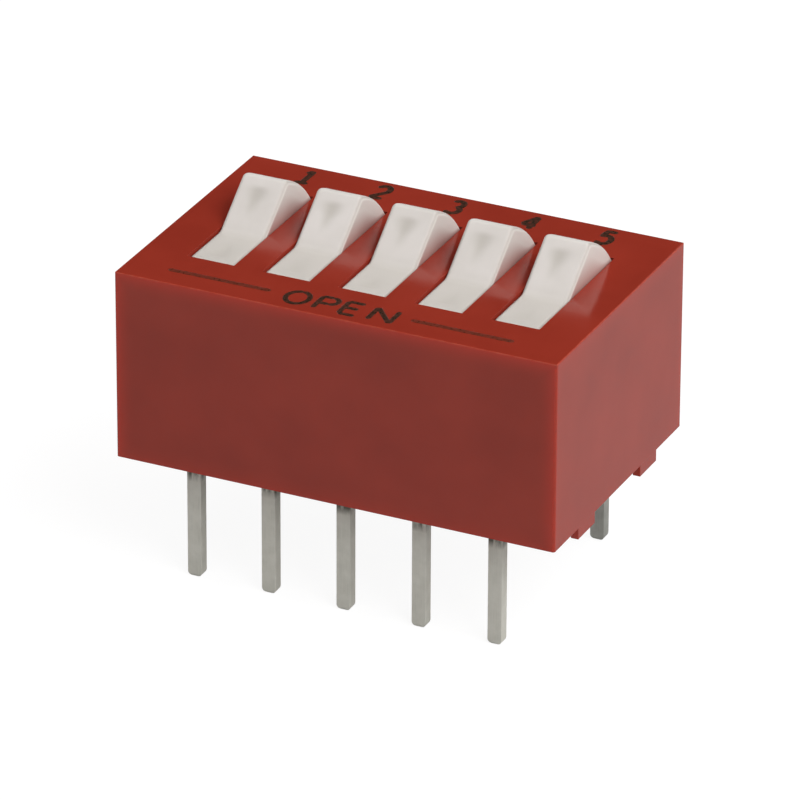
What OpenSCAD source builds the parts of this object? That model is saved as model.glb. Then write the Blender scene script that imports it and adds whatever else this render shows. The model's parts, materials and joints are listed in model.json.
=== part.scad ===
// Raised-rocker DIP switch with five positions.
// X runs along the row of rockers, -Y is the OPEN side, +Z is up.
// The origin is midway between the pins, level with their tips.

/* [Layout] */
// Distance from one position to the next
pitch = 2.54; // [2.4:0.02:3]
// Distance between the two rows of pins
row_spacing = 7.62; // [7.4:0.02:9]
// Length of the pins below the housing's rim
pin_drop = 4; // [3:0.05:5]

/* [Housing] */
// Height of the housing, from its rim to its top
housing_h = 6.25; // [6:0.05:7.5]
// Thickness of the skirt around the base
skirt_wall = 0.5; // [0.4:0.05:0.7]
// Thickness of the wall outside the last window
end_wall = 1.47; // [1.2:0.01:2.2]
// Radius of the four upright corners
corner_r = 0.08; // [0.05:0.01:0.3]
// Radius of the edges around the top
rim_r = 0.05; // [0.03:0.01:0.3]

/* [Feet] */
// Length of a stand-off foot along the end of the housing
foot_l = 1.22; // [0.8:0.02:1.6]
// Thickness of a foot
foot_w = 0.25; // [0.2:0.05:0.5]
// Height of a foot below the rim
foot_h = 0.4; // [0.3:0.05:0.8]
// Distance of a foot's middle from the long centre line
foot_y = 2.31; // [1.8:0.01:2.8]
// How far a foot stands back from the end face
foot_inset = 0.02; // [0.01:0.01:0.2]

/* [Rocker] */
// Width of a rocker
rocker_w = 1.54; // [1.4:0.02:1.6]
// Distance from the pivot to a rocker's end faces
rocker_reach = 3.2; // [3:0.02:3.4]
// Angle of each wing, which is half of the rocking travel
tilt = 19; // [14:0.5:21]
// Depth of the pivot below the housing's top
pivot_depth = 1.8; // [1.7:0.02:2.1]
// Height of the crease between the wings above the pivot
crease_h = 1.86; // [1.6:0.02:1.9]
// Depth of a pressed wing's underside below the pivot
wing_under = 1.3; // [1.1:0.02:1.5]
// Length of the stem below the pivot
stem_l = 2.2; // [2.1:0.02:2.3]
// Thickness of the stem across the pivot
stem_t = 1.6; // [1.4:0.02:1.7]
// Diameter of a trunnion
trunnion_d = 0.76; // [0.6:0.02:0.9]
// Length of a trunnion
trunnion_l = 0.35; // [0.25:0.01:0.38]
// Depth of the finger dimple in a wing
dimple_depth = 0.05; // [0.02:0.01:0.1]
// Width of the finger dimple
dimple_w = 0.6; // [0.4:0.05:0.8]
// Distance from a wing's end to its dimple
dimple_in = 0.63; // [0.5:0.01:1]

/* [Spring and ball] */
// Diameter of the contact ball
ball_d = 1; // [0.9:0.02:1.04]
// Depth of the ball's centre below the pivot
ball_drop = 2; // [1.9:0.02:2.1]
// Height of the spring seat in the stem above the pivot
spring_seat = 0.9; // [0.7:0.05:1]
// Diameter of the spring wire
wire_d = 0.12; // [0.08:0.01:0.14]
// Turns of the spring
spring_turns = 6.5; // [5:0.5:7]

/* [Terminals] */
// Width of a pin
pin_w = 0.47; // [0.4:0.01:0.52]
// Thickness of the terminal strip and of a pin
pin_t = 0.38; // [0.25:0.01:0.42]
// Radius of a pin's tip across its width
tip_r = 0.19; // [0.05:0.01:0.22]
// Radius of a pin's tip across its thickness
tip_side_r = 0.12; // [0.05:0.01:0.17]
// Inside radius of the bend between pin and strip
bend_r = 0.12; // [0.05:0.01:0.2]
// Width of a contact rail
rail_w = 0.4; // [0.3:0.02:0.5]
// Gap between the edges that the ball rides on
rail_gap = 0.3; // [0.2:0.02:0.4]
// How far a rail runs past the ball
rail_over = 0.35; // [0.25:0.01:0.45]
// Depth of the groove between the edges
groove_depth = 0.12; // [0.05:0.01:0.2]

/* [Base and seal] */
// Width of the base outside the middle of a pin row
base_edge = 0.385; // [0.3:0.005:0.6]
// Length of a contact well
well_l = 3.24; // [3.2:0.02:3.6]
// Thickness of the seal
seal_t = 0.5; // [0.3:0.05:0.7]
// How far the seal stands in from the rim
seal_inset = 0.1; // [0.05:0.01:0.3]

/* [Fits] */
// Gap beside a rocker in its window
side_gap = 0.03; // [0.02:0.01:0.08]
// Gap beyond a rocker's end faces
end_gap = 0.08; // [0.05:0.01:0.12]
// Radial running gap around a trunnion
trunnion_gap = 0.04; // [0.02:0.01:0.06]
// Radial gap around the ball in the stem
ball_gap = 0.03; // [0.02:0.01:0.06]
// Gap under a rocker at the end of its travel
stop_gap = 0.05; // [0.03:0.01:0.1]
// Gap between the base and the skirt
base_gap = 0.03; // [0.02:0.01:0.05]
// Gap between parts that rest on or are set into each other
seat_gap = 0.01; // [0.005:0.005:0.02]

/* [Hidden] */
$fn = 48;
positions = 5;
numbers = [1 : positions];
function numbered(name) = [for (i = numbers) str(name, "_", i)];

over = 1;                                   // cutters run past what they cut by this
rail_x = (rail_gap + rail_w) / 2;           // middle of a rail, across the ball
channel_w = rocker_w + 2 * side_gap;
partition = pitch - channel_w;
slot_depth = partition / 2;
side_margin = base_edge + base_gap + skirt_wall;
housing_l = (positions - 1) * pitch + channel_w + 2 * end_wall;
housing_w = row_spacing + 2 * side_margin;
cavity_l = housing_l - 2 * skirt_wall;
cavity_w = housing_w - 2 * skirt_wall;
base_l = cavity_l - 2 * base_gap;
base_w = cavity_w - 2 * base_gap;
channel_r = rocker_reach + end_gap;

top_z = pin_drop + housing_h;
pivot_z = top_z - pivot_depth;
ball_z = pivot_z - ball_drop;
rail_z = ball_z - sqrt(pow(ball_d / 2, 2) - pow(rail_gap / 2, 2)) - seat_gap;
ledge_z = pivot_z - wing_under - stop_gap;
post_z = pivot_z - trunnion_d / 2 - trunnion_gap;
seal_z = pin_drop + seal_inset;
base_z = seal_z + seal_t + seat_gap;

ball_y = ball_drop * tan(tilt);             // the ball's place when the switch is open
ball_reach = ball_drop / cos(tilt);         // from the pivot to the ball, along the stem
bore_d = ball_d + 2 * ball_gap;
wing_l = wing_length();
outer_bend = bend_r + pin_t;

housing_colour = [0.60, 0.17, 0.13];
rocker_colour = [0.93, 0.91, 0.88];
base_colour = [0.12, 0.12, 0.13];
seal_colour = [0.30, 0.22, 0.16];
tin_colour = [0.66, 0.66, 0.62];
steel_colour = [0.75, 0.76, 0.78];
gold_colour = [0.86, 0.70, 0.36];

function place_x(i) = (i - (positions + 1) / 2) * pitch;

// Length of a wing from the crease to the end arc, along the slope
function wing_length() =
    let (s = crease_h * sin(tilt))
    sqrt(s * s + rocker_reach * rocker_reach - crease_h * crease_h) - s;

// A block given by its lowest and highest corners
module block(low, high) {
    translate(low) cube(high - low);
}

// A rectangle with round corners, centred on the origin
module round_rect(size, r) {
    square([size.x - 2 * r, size.y], center = true);
    square([size.x, size.y - 2 * r], center = true);
    for (sx = [-1, 1], sy = [-1, 1])
        translate([sx * (size.x / 2 - r), sy * (size.y / 2 - r)]) circle(r);
}

// A rectangle from y = 0 up whose two upper corners are round
module round_top(w, h, r) {
    translate([-w / 2, 0]) square([w, h - r]);
    translate([-w / 2 + r, 0]) square([w - 2 * r, h]);
    for (s = [-1, 1]) translate([s * (w / 2 - r), h - r]) circle(r);
}

// Turns a profile drawn in Y and Z into a solid that is centred on X
module along_x(width) {
    rotate([90, 0, 90]) linear_extrude(width, center = true) children();
}

// Turns a profile drawn in X and Z into a solid that is centred on Y
module along_y(width) {
    rotate([90, 0, 0]) linear_extrude(width, center = true) children();
}

// A cylinder that lies along X through the pivot
module on_pivot(d, l) {
    translate([0, 0, pivot_z]) rotate([0, 90, 0]) cylinder(h = l, d = d, center = true);
}

// ---------- Housing ----------

// Outer form, round at the upright corners and at the top edges
module housing_form() {
    intersection() {
        translate([0, 0, pin_drop]) linear_extrude(housing_h)
            round_rect([housing_l, housing_w], corner_r);
        translate([0, 0, pin_drop]) along_x(housing_l + over)
            round_top(housing_w, housing_h, rim_r);
        translate([0, 0, pin_drop]) along_y(housing_w + over)
            round_top(housing_l, housing_h, rim_r);
    }
}

// Room for one rocker, open at the top and at the base
module channel_cut() {
    on_pivot(2 * channel_r, channel_w);
    block([-channel_w / 2, -channel_r, ledge_z - over], [channel_w / 2, channel_r, pivot_z]);
}

// Slots beside a window that take the trunnions from below
module trunnion_slots() {
    slot_d = trunnion_d + 2 * trunnion_gap;
    width = channel_w + 2 * slot_depth;
    on_pivot(slot_d, width);
    block([-width / 2, -slot_d / 2, ledge_z - over], [width / 2, slot_d / 2, pivot_z]);
}

module feet() {
    foot_x = housing_l / 2 - foot_inset - foot_w / 2;
    for (sx = [-1, 1], sy = [-1, 1])
        translate([sx * foot_x, sy * foot_y, pin_drop - foot_h / 2])
            cube([foot_w, foot_l, foot_h], center = true);
}

module housing() {
    color(housing_colour) {
        difference() {
            housing_form();
            block([-cavity_l / 2, -cavity_w / 2, pin_drop - over],
                  [cavity_l / 2, cavity_w / 2, ledge_z]);
            for (i = numbers) translate([place_x(i), 0, 0]) {
                channel_cut();
                trunnion_slots();
            }
        }
        feet();
    }
}

// ---------- Rocker, spring and ball ----------

// Side view of a rocker with its wings level: pivot at the origin, wings to both sides
module rocker_outline() {
    far = rocker_reach + over;
    rise = tan(tilt);
    under = -wing_under / cos(tilt);
    stem = stem_t / 2;
    polygon([
        [0, crease_h],
        [-far, crease_h + far * rise],
        [-far, under + far * rise],
        [-stem, under + stem * rise],
        [-stem, -stem_l],
        [stem, -stem_l],
        [stem, under + stem * rise],
        [far, under + far * rise],
        [far, crease_h + far * rise]
    ]);
}

// A shallow round dish in each wing
module dimples() {
    dish_r = (pow(dimple_w / 2, 2) + pow(dimple_depth, 2)) / (2 * dimple_depth);
    for (side = [0, 180]) rotate([0, 0, side])
        translate([0, 0, crease_h]) rotate([tilt, 0, 0])
            translate([0, wing_l - dimple_in, dish_r - dimple_depth]) sphere(dish_r);
}

module rocker_blank() {
    intersection() {
        along_x(rocker_w) rocker_outline();
        rotate([0, 90, 0]) cylinder(h = rocker_w + over, r = rocker_reach, center = true);
    }
    rotate([0, 90, 0]) cylinder(h = rocker_w + 2 * trunnion_l, d = trunnion_d, center = true);
}

// Puts what is drawn about the pivot into place, with the OPEN side pressed
module rocked(i) {
    translate([place_x(i), 0, pivot_z]) rotate([tilt, 0, 0]) children();
}

module rocker(i) {
    color(rocker_colour) rocked(i) difference() {
        rocker_blank();
        translate([0, 0, -stem_l - over]) cylinder(h = stem_l + over + spring_seat, d = bore_d);
        dimples();
    }
}

// A coil of round wire from z = 0 to z = length, with a closed turn at each end
module coil(length, mean_r) {
    sides = 5;
    steps = 12;
    dead = 0.75;
    last = spring_turns * steps;
    open_turns = spring_turns - 2 * dead;
    rise = (length - wire_d * (1 + 2 * dead)) / open_turns;
    function height(t) = wire_d / 2 + wire_d * (min(t, dead) + max(0, t - dead - open_turns))
        + rise * min(max(0, t - dead), open_turns);
    ring = [for (k = [0 : last], s = [0 : sides - 1])
        let (turn = 360 * k / steps, a = 360 * s / sides, r = mean_r + wire_d / 2 * cos(a))
        [r * cos(turn), r * sin(turn), height(k / steps) + wire_d / 2 * sin(a)]];
    skin = [for (k = [0 : last - 1], s = [0 : sides - 1])
        let (a = k * sides + s, b = k * sides + (s + 1) % sides)
        [a, a + sides, b + sides, b]];
    start = [for (s = [0 : sides - 1]) s];
    end = [for (s = [sides - 1 : -1 : 0]) last * sides + s];
    polyhedron(ring, concat(skin, [start, end]));
}

module spring(i) {
    wire_gap = ball_gap + seat_gap;
    mean_r = (bore_d - wire_d) / 2 - wire_gap;
    // the last turn sits on the ball's shoulder
    shoulder = sqrt(pow((ball_d + wire_d) / 2 + seat_gap, 2) - mean_r * mean_r) - wire_d / 2;
    low = ball_reach - shoulder;
    color(steel_colour) rocked(i)
        translate([0, 0, -low]) coil(low + spring_seat - seat_gap, mean_r);
}

module ball(i) {
    color(gold_colour) translate([place_x(i), ball_y, ball_z]) sphere(d = ball_d);
}

// ---------- Terminals ----------

// One view of a pin w wide, from its round tip at z = 0 up to z = h
module pin_outline(w, h, r) {
    translate([-w / 2, r]) square([w, h - r]);
    translate([-w / 2 + r, 0]) square([w - 2 * r, h]);
    for (s = [-1, 1]) translate([s * (w / 2 - r), r]) circle(r);
}

// A pin on the origin, with a tip that is round both ways
module pin(h) {
    intersection() {
        along_y(pin_t + over) pin_outline(pin_w, h, tip_r);
        along_x(pin_w + over) pin_outline(pin_t, h, tip_side_r);
    }
}

// Side view of the bend from a pin at y = row into a strip that runs towards the middle
module bend_outline(row) {
    centre = [row - pin_t / 2 - bend_r, rail_z - outer_bend];
    intersection() {
        translate(centre) difference() {
            circle(outer_bend);
            circle(bend_r);
        }
        translate(centre) square(outer_bend + over);
    }
}

// A terminal whose pin stands at +Y, with its rail on the +X side of the ball.
// reach is how far past the centre line the rail runs.
module terminal(reach) {
    row = row_spacing / 2;
    bend_y = row - pin_t / 2 - bend_r;
    strip_z = rail_z - pin_t;
    strip_x = rail_x + rail_w / 2;
    translate([0, row, 0]) pin(rail_z - outer_bend);
    along_x(pin_w) bend_outline(row);
    block([-pin_w / 2, well_l / 2 + pin_t, strip_z], [strip_x, bend_y, rail_z]);
    block([strip_x - rail_w, -reach, strip_z], [strip_x, bend_y, rail_z]);
}

// The rear terminal passes under both places of the ball
module terminal_rear(i) {
    color(tin_colour) translate([place_x(i), 0, 0]) terminal(ball_y + rail_over);
}

// The front terminal lies only under the closed place of the ball
module terminal_front(i) {
    color(tin_colour) translate([place_x(i), 0, 0])
        rotate([0, 0, 180]) terminal(rail_over - ball_y);
}

// ---------- Base and seal ----------

// Posts that stand in the trunnion slots and prop the trunnions from below
module posts() {
    post_w = trunnion_d + 2 * trunnion_gap - 2 * base_gap;
    post_l = channel_w + 2 * slot_depth - 2 * base_gap;
    for (i = numbers) translate([place_x(i), 0, 0])
        difference() {
            block([-post_l / 2, -post_w / 2, ledge_z - over], [post_l / 2, post_w / 2, post_z]);
            block([-channel_w / 2, -post_w, ledge_z - seat_gap],
                  [channel_w / 2, post_w, pivot_z]);
        }
}

module contact_well() {
    block([-channel_w / 2, -well_l / 2, rail_z], [channel_w / 2, well_l / 2, pivot_z]);
    block([-rail_gap / 2, -ball_y - rail_over, rail_z - groove_depth],
          [rail_gap / 2, ball_y + rail_over, pivot_z]);
}

module base() {
    color(base_colour) difference() {
        union() {
            block([-base_l / 2, -base_w / 2, base_z], [base_l / 2, base_w / 2, ledge_z - seat_gap]);
            posts();
        }
        for (i = numbers) {
            translate([place_x(i), 0, 0]) contact_well();
            terminal_rear(i);
            terminal_front(i);
        }
    }
}

module base_seal() {
    color(seal_colour) difference() {
        block([-base_l / 2, -base_w / 2, seal_z], [base_l / 2, base_w / 2, seal_z + seal_t]);
        for (i = numbers) {
            terminal_rear(i);
            terminal_front(i);
        }
    }
}

housing();
base();
base_seal();
for (i = numbers) {
    rocker(i);
    spring(i);
    ball(i);
    terminal_front(i);
    terminal_rear(i);
}
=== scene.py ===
"""Looks of a raised-rocker switch with five positions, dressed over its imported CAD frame.

Lengths named here are in millimetres. Each piece is shaped in millimetres and scaled to metres at the end.
X runs along the row of rockers, -Y is the OPEN side, +Z is up.
"""

import json
import math

import bpy
import numpy as np
from mathutils import Matrix, Vector


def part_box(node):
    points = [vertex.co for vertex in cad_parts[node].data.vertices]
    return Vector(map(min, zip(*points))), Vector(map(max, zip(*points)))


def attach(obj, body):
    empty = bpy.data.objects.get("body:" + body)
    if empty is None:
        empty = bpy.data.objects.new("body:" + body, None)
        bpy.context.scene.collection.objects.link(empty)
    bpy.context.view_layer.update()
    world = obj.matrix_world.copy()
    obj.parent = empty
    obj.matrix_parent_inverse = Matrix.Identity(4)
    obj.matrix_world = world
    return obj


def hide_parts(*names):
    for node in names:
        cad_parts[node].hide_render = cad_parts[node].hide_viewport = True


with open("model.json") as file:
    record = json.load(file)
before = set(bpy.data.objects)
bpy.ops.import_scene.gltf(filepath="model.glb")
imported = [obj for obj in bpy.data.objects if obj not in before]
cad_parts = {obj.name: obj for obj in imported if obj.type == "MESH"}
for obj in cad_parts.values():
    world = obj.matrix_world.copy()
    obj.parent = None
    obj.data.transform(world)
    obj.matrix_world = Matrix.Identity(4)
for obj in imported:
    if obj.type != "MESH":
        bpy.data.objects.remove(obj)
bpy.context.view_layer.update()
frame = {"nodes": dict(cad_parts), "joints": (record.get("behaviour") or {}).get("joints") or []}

# ---------- Measures ----------

MM = 0.001
MICRON = 0.000001
POSITIONS = range(1, 6)
SIDES = ("front", "rear")

# Housing. EDGE_REACH is how far the painted glow and the painted rim highlight reach in from an edge.
HOUSING_HEIGHT = 6.25
WINDOW_ROUND = 0.04
EDGE_REACH = 0.65

# Rocker, seen from its side
PIVOT_DEPTH = 1.8
ROCKER_WIDTH = 1.54
ROCKER_REACH = 3.2
ROCKER_TILT = math.radians(19)
CREASE_HEIGHT = 1.86
CREASE_ROUND = 0.5
CROWN_ROUND = 0.2
TOE_ROUND = 0.1
UNDERSIDE_DEPTH = 1.3
STEM_HALF = 0.8
STEM_LENGTH = 2.2
STEM_ROOT_ROUND = 0.15
STEM_END_ROUND = 0.08

# Rounding of the outline towards the rocker's sides: along the wings and crown, and below
WING_EDGE = 0.14
LOWER_EDGE = 0.06

# Points along each part of the outline, round the edge of a side, and across the width
CREASE_STEPS, WING_STEPS, CROWN_STEPS, FACE_STEPS, TOE_STEPS = 7, 52, 12, 30, 7
UNDERSIDE_STEPS, ROOT_STEPS, STEM_STEPS, FOOT_STEPS, STEM_END_STEPS = 12, 6, 8, 5, 5
SIDE_STEPS, FLAT_STEPS = 8, 31

# Finger hollow of a wing. The pairs are distances from the wing's end, which lies past the start of the crown
# by CROWN_SHARE of the crown's radius. OFF_WING stands in for that distance where there is no wing.
HOLLOW_DEPTH = 0.03
HOLLOW_RISE, HOLLOW_FALL, HOLLOW_TAPER = (0.28, 0.55), (0.65, 1.65), (0.55, 1.05)
HOLLOW_HALF_WIDTH, HOLLOW_NARROWING = 0.28, 0.14
CROWN_SHARE = 0.57
OFF_WING = -1.0

# Painted shade in the hollows, at the crease and over the pressed wing: how much of it, and where it starts
# and ends. In the hollows it lies a little to one side.
SHADE_SHIFT = -0.08
SHADE_DEPTHS = (0.08, 0.2)
REAR_HOLLOW_SHADE, FRONT_HOLLOW_SHADE = 1.0, 0.2
PRESSED_SHADE, PRESSED_RANGE = 0.7, (-0.15, 0.4)
CREASE_SHADE, CREASE_SPREAD = 0.3, 0.25

# Painted shade with a painted red bounce at the foot of a raised wing's flank: its height at two places, how
# far out those lie, and how it fades
FOOT_SHADE_FRONT, FOOT_SHADE_REAR = 0.85, 0.12
FOOT_SHADE_START, FOOT_SHADE_END = 0.8, 2.3
FOOT_SHADE_FADE = 1.2

# Trunnions and spring bore. A trunnion starts a little inside the rocker, the bore's cutter below the stem.
TRUNNION_RADIUS = 0.38
TRUNNION_LENGTH = 0.35
TRUNNION_ROUND = 0.06
TRUNNION_SUNK = 0.1
TRUNNION_STEPS, TRUNNION_ROUND_STEPS = 48, 6
BORE_RADIUS = 0.53
BORE_TOP = 0.9
BORE_OVERRUN = 0.5
BORE_STEPS = 64

# Spring, about the rocker's pivot
SPRING_WIRE = 0.12
SPRING_RADIUS = 0.43
SPRING_TURNS = 6.5
SPRING_DEAD = 0.75
SPRING_LOW = 1.721
SPRING_HIGH = 0.89
TURN_STEPS, WIRE_STEPS = 40, 12

# Terminals, the epoxy round them, and the flux stain, which fades between two depths below the housing's rim
PIN_ROUND = 0.06
PIN_WIDTH, PIN_THICKNESS = 0.47, 0.38
COLLAR_REACH, COLLAR_HEIGHT = 0.3, 0.08
COLLAR_RINGS, COLLAR_STEPS = 8, 36
FLUX_LOW, FLUX_HIGH = 0.72, 0.45

# Rounding a copy of a CAD part
WELD_GAP = 0.0005
FLAT_ANGLE, SHARP_ANGLE = math.radians(1), math.radians(35)
ROUND_SEGMENTS = 3
FULL_WEIGHT = 100

# Ink. Each stroke of a letter is a share thicker than the one before, so no two films lie in one plane.
# INK_TIP keeps the ends of a stroke from closing to a point.
INK_THICKNESS = 0.006
INK_SHOULDER = 0.85
INK_TIP = 0.0001
THICKER = 0.2
LETTER_STROKE = 0.17
NUMERAL_STROKE = 0.2
RULE_STROKE = 0.2
STRAIGHT_STEPS, BOWL_STEPS, STROKE_END_STEPS = 3, 28, 7

housing_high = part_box("housing")[1] / MM
top_z = housing_high.z
rim_z = top_z - HOUSING_HEIGHT
hinges = {j["child"]: Vector(j["pos_m"]) / MM for j in frame["joints"] if j["type"] == "hinge"}
pivots = {i: hinges[f"lever_{i}"] for i in POSITIONS}
seats = {i: Matrix.Translation(pivots[i]) @ Matrix.Rotation(ROCKER_TILT, 4, "X") for i in POSITIONS}


# ---------- Shaping helpers ----------


def arc(centre, radius, start, end, count):
    """Points at centre + radius * (cos a, sin a), with a in equal steps from start to end.

    radius may be a pair.
    """
    a = np.linspace(start, end, count)
    rx, ry = np.broadcast_to(radius, 2)
    return np.column_stack([centre[0] + rx * np.cos(a), centre[1] + ry * np.sin(a)])


def line(start, end, count):
    """Points in equal steps from start to end, without the two ends themselves."""
    t = np.linspace(0, 1, count + 2)[1:-1, None]
    return np.asarray(start) * (1 - t) + np.asarray(end) * t


def smooth_step(x, low, high):
    """0 below low, 1 above high, and 3t^2 - 2t^3 between them, where t is the share of the way."""
    t = np.clip((x - low) / (high - low), 0, 1)
    return t * t * (3 - 2 * t)


def grid_faces(rows, columns, close_rows=False, close_columns=False):
    """Quads between neighbouring points of a grid, whose point (r, c) has number r * columns + c."""
    r = np.arange(rows if close_rows else rows - 1)[:, None]
    c = np.arange(columns if close_columns else columns - 1)[None, :]
    r2, c2 = (r + 1) % rows, (c + 1) % columns
    quads = [r * columns + c, r2 * columns + c, r2 * columns + c2, r * columns + c2]
    return np.stack([np.broadcast_to(q, (r.size, c.size)) for q in quads], -1).reshape(-1, 4)


def tube_faces(rows, columns):
    """Quads of a grid closed round its columns, and a flat cap over its first and its last row."""
    last = (rows - 1) * columns
    caps = [list(range(columns)), list(range(last, last + columns))[::-1]]
    return grid_faces(rows, columns, close_columns=True), caps


def mesh_from(name, points, quads, caps=()):
    """A mesh from arrays of points and quads, and closing faces given as lists of point numbers."""
    mesh = bpy.data.meshes.new(name)
    mesh.from_pydata(points.tolist(), [], quads.tolist() + [list(cap) for cap in caps])
    mesh.update()
    return mesh


def joined(name, parts):
    """One mesh that holds several (points, quads, caps) shells side by side."""
    points, quads, caps, start = [], [], [], 0
    for p, q, c in parts:
        points.append(p)
        quads.append(q + start)
        caps += [[int(i) + start for i in cap] for cap in c]
        start += len(p)
    return mesh_from(name, np.concatenate(points), np.concatenate(quads), caps)


def lathe(profile, count):
    """A profile of (radius, height) points turned about the z axis, with a flat cap at each end.

    The point of height h at angle a is (r cos a, r sin a, h).
    """
    a = np.arange(count) * 2 * np.pi / count
    r, h = profile[:, :1], profile[:, 1:]
    points = np.stack([r * np.cos(a), r * np.sin(a), np.broadcast_to(h, (len(h), count))], -1)
    quads, caps = tube_faces(len(profile), count)
    return points.reshape(-1, 3), quads[:, ::-1], [cap[::-1] for cap in caps]


def with_modifiers(mesh, build):
    """The mesh after the modifiers that build(object) adds to it, worked out at once."""
    helper = bpy.data.objects.new("helper", mesh)
    bpy.context.scene.collection.objects.link(helper)
    extra = build(helper) or []
    result = bpy.data.meshes.new_from_object(
        helper.evaluated_get(bpy.context.evaluated_depsgraph_get())
    )
    for o in [helper, *extra]:
        bpy.data.objects.remove(o)
    return result


def even_shading(mesh):
    """Smooth shading in which a large flat face outweighs the small round strips beside it."""
    mesh.shade_smooth()

    def build(helper):
        weighted = helper.modifiers.new("weighted", "WEIGHTED_NORMAL")
        weighted.weight = FULL_WEIGHT

    return with_modifiers(mesh, build)


def piece(name, mesh, body, finish, replaces=()):
    """Puts a mesh shaped in millimetres into the scene as a finished piece that rides on a body."""
    mesh.transform(Matrix.Scale(MM, 4))
    mesh.name = name
    mesh.materials.clear()
    mesh.materials.append(finish)
    o = bpy.data.objects.new(name, mesh)
    bpy.context.scene.collection.objects.link(o)
    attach(o, body)
    if replaces:
        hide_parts(*replaces)
    return o


def softened_copy(node, width):
    """A copy of a CAD node's mesh in millimetres.

    Its loose corners are merged, its flat faces joined, and its sharp edges rounded.
    """
    mesh = frame["nodes"][node].data.copy()
    mesh.transform(Matrix.Scale(1 / MM, 4))

    def build(helper):
        weld = helper.modifiers.new("weld", "WELD")
        weld.merge_threshold = WELD_GAP
        flat = helper.modifiers.new("flat", "DECIMATE")
        flat.decimate_type = "DISSOLVE"
        flat.angle_limit = FLAT_ANGLE
        bevel = helper.modifiers.new("bevel", "BEVEL")
        bevel.limit_method = "ANGLE"
        bevel.angle_limit = SHARP_ANGLE
        bevel.width = width
        bevel.segments = ROUND_SEGMENTS

    return even_shading(with_modifiers(mesh, build))


# ---------- Colours ----------


def linear(r, g, b):
    """An 8-bit screen colour as the linear colour that a shader takes."""
    c = np.array([r, g, b]) / 255
    return (*np.where(c <= 0.04045, c / 12.92, ((c + 0.055) / 1.055) ** 2.4).tolist(), 1)


RED_DARK, RED_LIGHT = linear(149, 48, 33), linear(158, 52, 36)
# Painted light on the housing: a glow near the edges, a highlight on rounded edges, the brightest highlight
# on the upper rim
RED_PAINTED_GLOW, RED_EDGE_HIGHLIGHT, RED_RIM_HIGHLIGHT = linear(190, 55, 38), linear(160, 52, 36), linear(182, 80, 64)
WHITE_DARK, WHITE_LIGHT = linear(228, 222, 216), linear(235, 229, 224)
# Painted shade on the rocker: in hollows, crease and pressed wing, on flanks and side edges, and with a red
# bounce at the flanks' foot
WHITE_PAINTED_SHADE, WHITE_FLANK_SHADE = linear(206, 200, 192), linear(224, 218, 212)
WHITE_EDGE_SHADE, WHITE_FOOT_SHADE_AND_BOUNCE = linear(195, 187, 180), linear(182, 141, 134)
BLACK_DARK, BLACK_LIGHT = linear(30, 30, 32), linear(44, 44, 47)
EPOXY_DARK, EPOXY_LIGHT = linear(66, 42, 30), linear(92, 62, 44)
# One tin in two copies: the front terminals' painted lighter as painted light, the rear terminals' painted
# darker as painted shade
LIT_TIN_DARK, LIT_TIN_LIGHT = linear(209, 207, 196), linear(223, 221, 211)
SHADED_TIN_DARK, SHADED_TIN_LIGHT = linear(164, 164, 156), linear(190, 190, 183)
TIN_FLUX = linear(98, 94, 82)
STEEL_DARK, STEEL_LIGHT = linear(170, 171, 174), linear(205, 206, 208)
GOLD_DARK, GOLD_LIGHT = linear(226, 190, 112), linear(238, 208, 140)
INK_DARK, INK_WORN = linear(50, 34, 22), linear(98, 48, 34)
FAINT_INK_DARK, FAINT_INK_WORN = linear(88, 40, 24), linear(124, 46, 31)


# ---------- Shader helpers ----------


def connect(tree, value, socket):
    """Gives a socket a number, a colour or another node's output."""
    if isinstance(value, bpy.types.NodeSocket):
        tree.links.new(value, socket)
    else:
        socket.default_value = value


def add(tree, kind, **values):
    """Adds a node. Values whose names are its properties are set there, the rest go to its inputs."""
    made = tree.nodes.new(kind)
    for key, value in values.items():
        if hasattr(made, key):
            setattr(made, key, value)
        else:
            connect(tree, value, made.inputs[key.replace("_", " ")])
    return made


def group(name, inputs, outputs):
    """An empty shader node group with named float sockets, and those sockets as its own nodes see them.

    inputs are (name, default), outputs are names.
    """
    tree = bpy.data.node_groups.new(name, "ShaderNodeTree")
    for label, value in inputs:
        socket = tree.interface.new_socket(label, in_out="INPUT", socket_type="NodeSocketFloat")
        socket.default_value = value
    for label in outputs:
        tree.interface.new_socket(label, in_out="OUTPUT", socket_type="NodeSocketFloat")
    return tree, add(tree, "NodeGroupInput").outputs, add(tree, "NodeGroupOutput").inputs


def maths(tree, operation, first, second=0.0, clamp=False):
    """One math node's output. first and second are each a number or an output."""
    made = add(tree, "ShaderNodeMath", operation=operation, use_clamp=clamp)
    connect(tree, first, made.inputs[0])
    connect(tree, second, made.inputs[1])
    return made.outputs[0]


def spread(tree, value, low, high, to_low=0.0, to_high=1.0, kind="LINEAR"):
    """value, moved from the range low..high to the range to_low..to_high and held inside it."""
    ends = {"From_Min": low, "From_Max": high, "To_Min": to_low, "To_Max": to_high}
    return add(tree, "ShaderNodeMapRange", interpolation_type=kind, Value=value, **ends).outputs["Result"]


# The range in which most of a noise lies
NOISE_RANGE = (0.3, 0.7)


def spread_noise(tree, value, low=0.0, high=1.0):
    """A noise, moved from its usual range to the range low..high."""
    return spread(tree, value, *NOISE_RANGE, low, high)


def noise(tree, place, scale, detail):
    """A noise between 0 and 1 at a place. scale is in cycles per metre, as a number or an output."""
    return add(tree, "ShaderNodeTexNoise", Vector=place, Scale=scale, Detail=detail).outputs[0]


def parts_of(tree, vector):
    """The x, y and z parts of a vector."""
    return add(tree, "ShaderNodeSeparateXYZ", Vector=vector).outputs


def fading(tree, distance, reach):
    """(1 - distance / reach) squared, and 0 past the reach."""
    left = maths(tree, "SUBTRACT", 1.0, maths(tree, "DIVIDE", distance, reach), clamp=True)
    return maths(tree, "POWER", left, 2.0)


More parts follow.
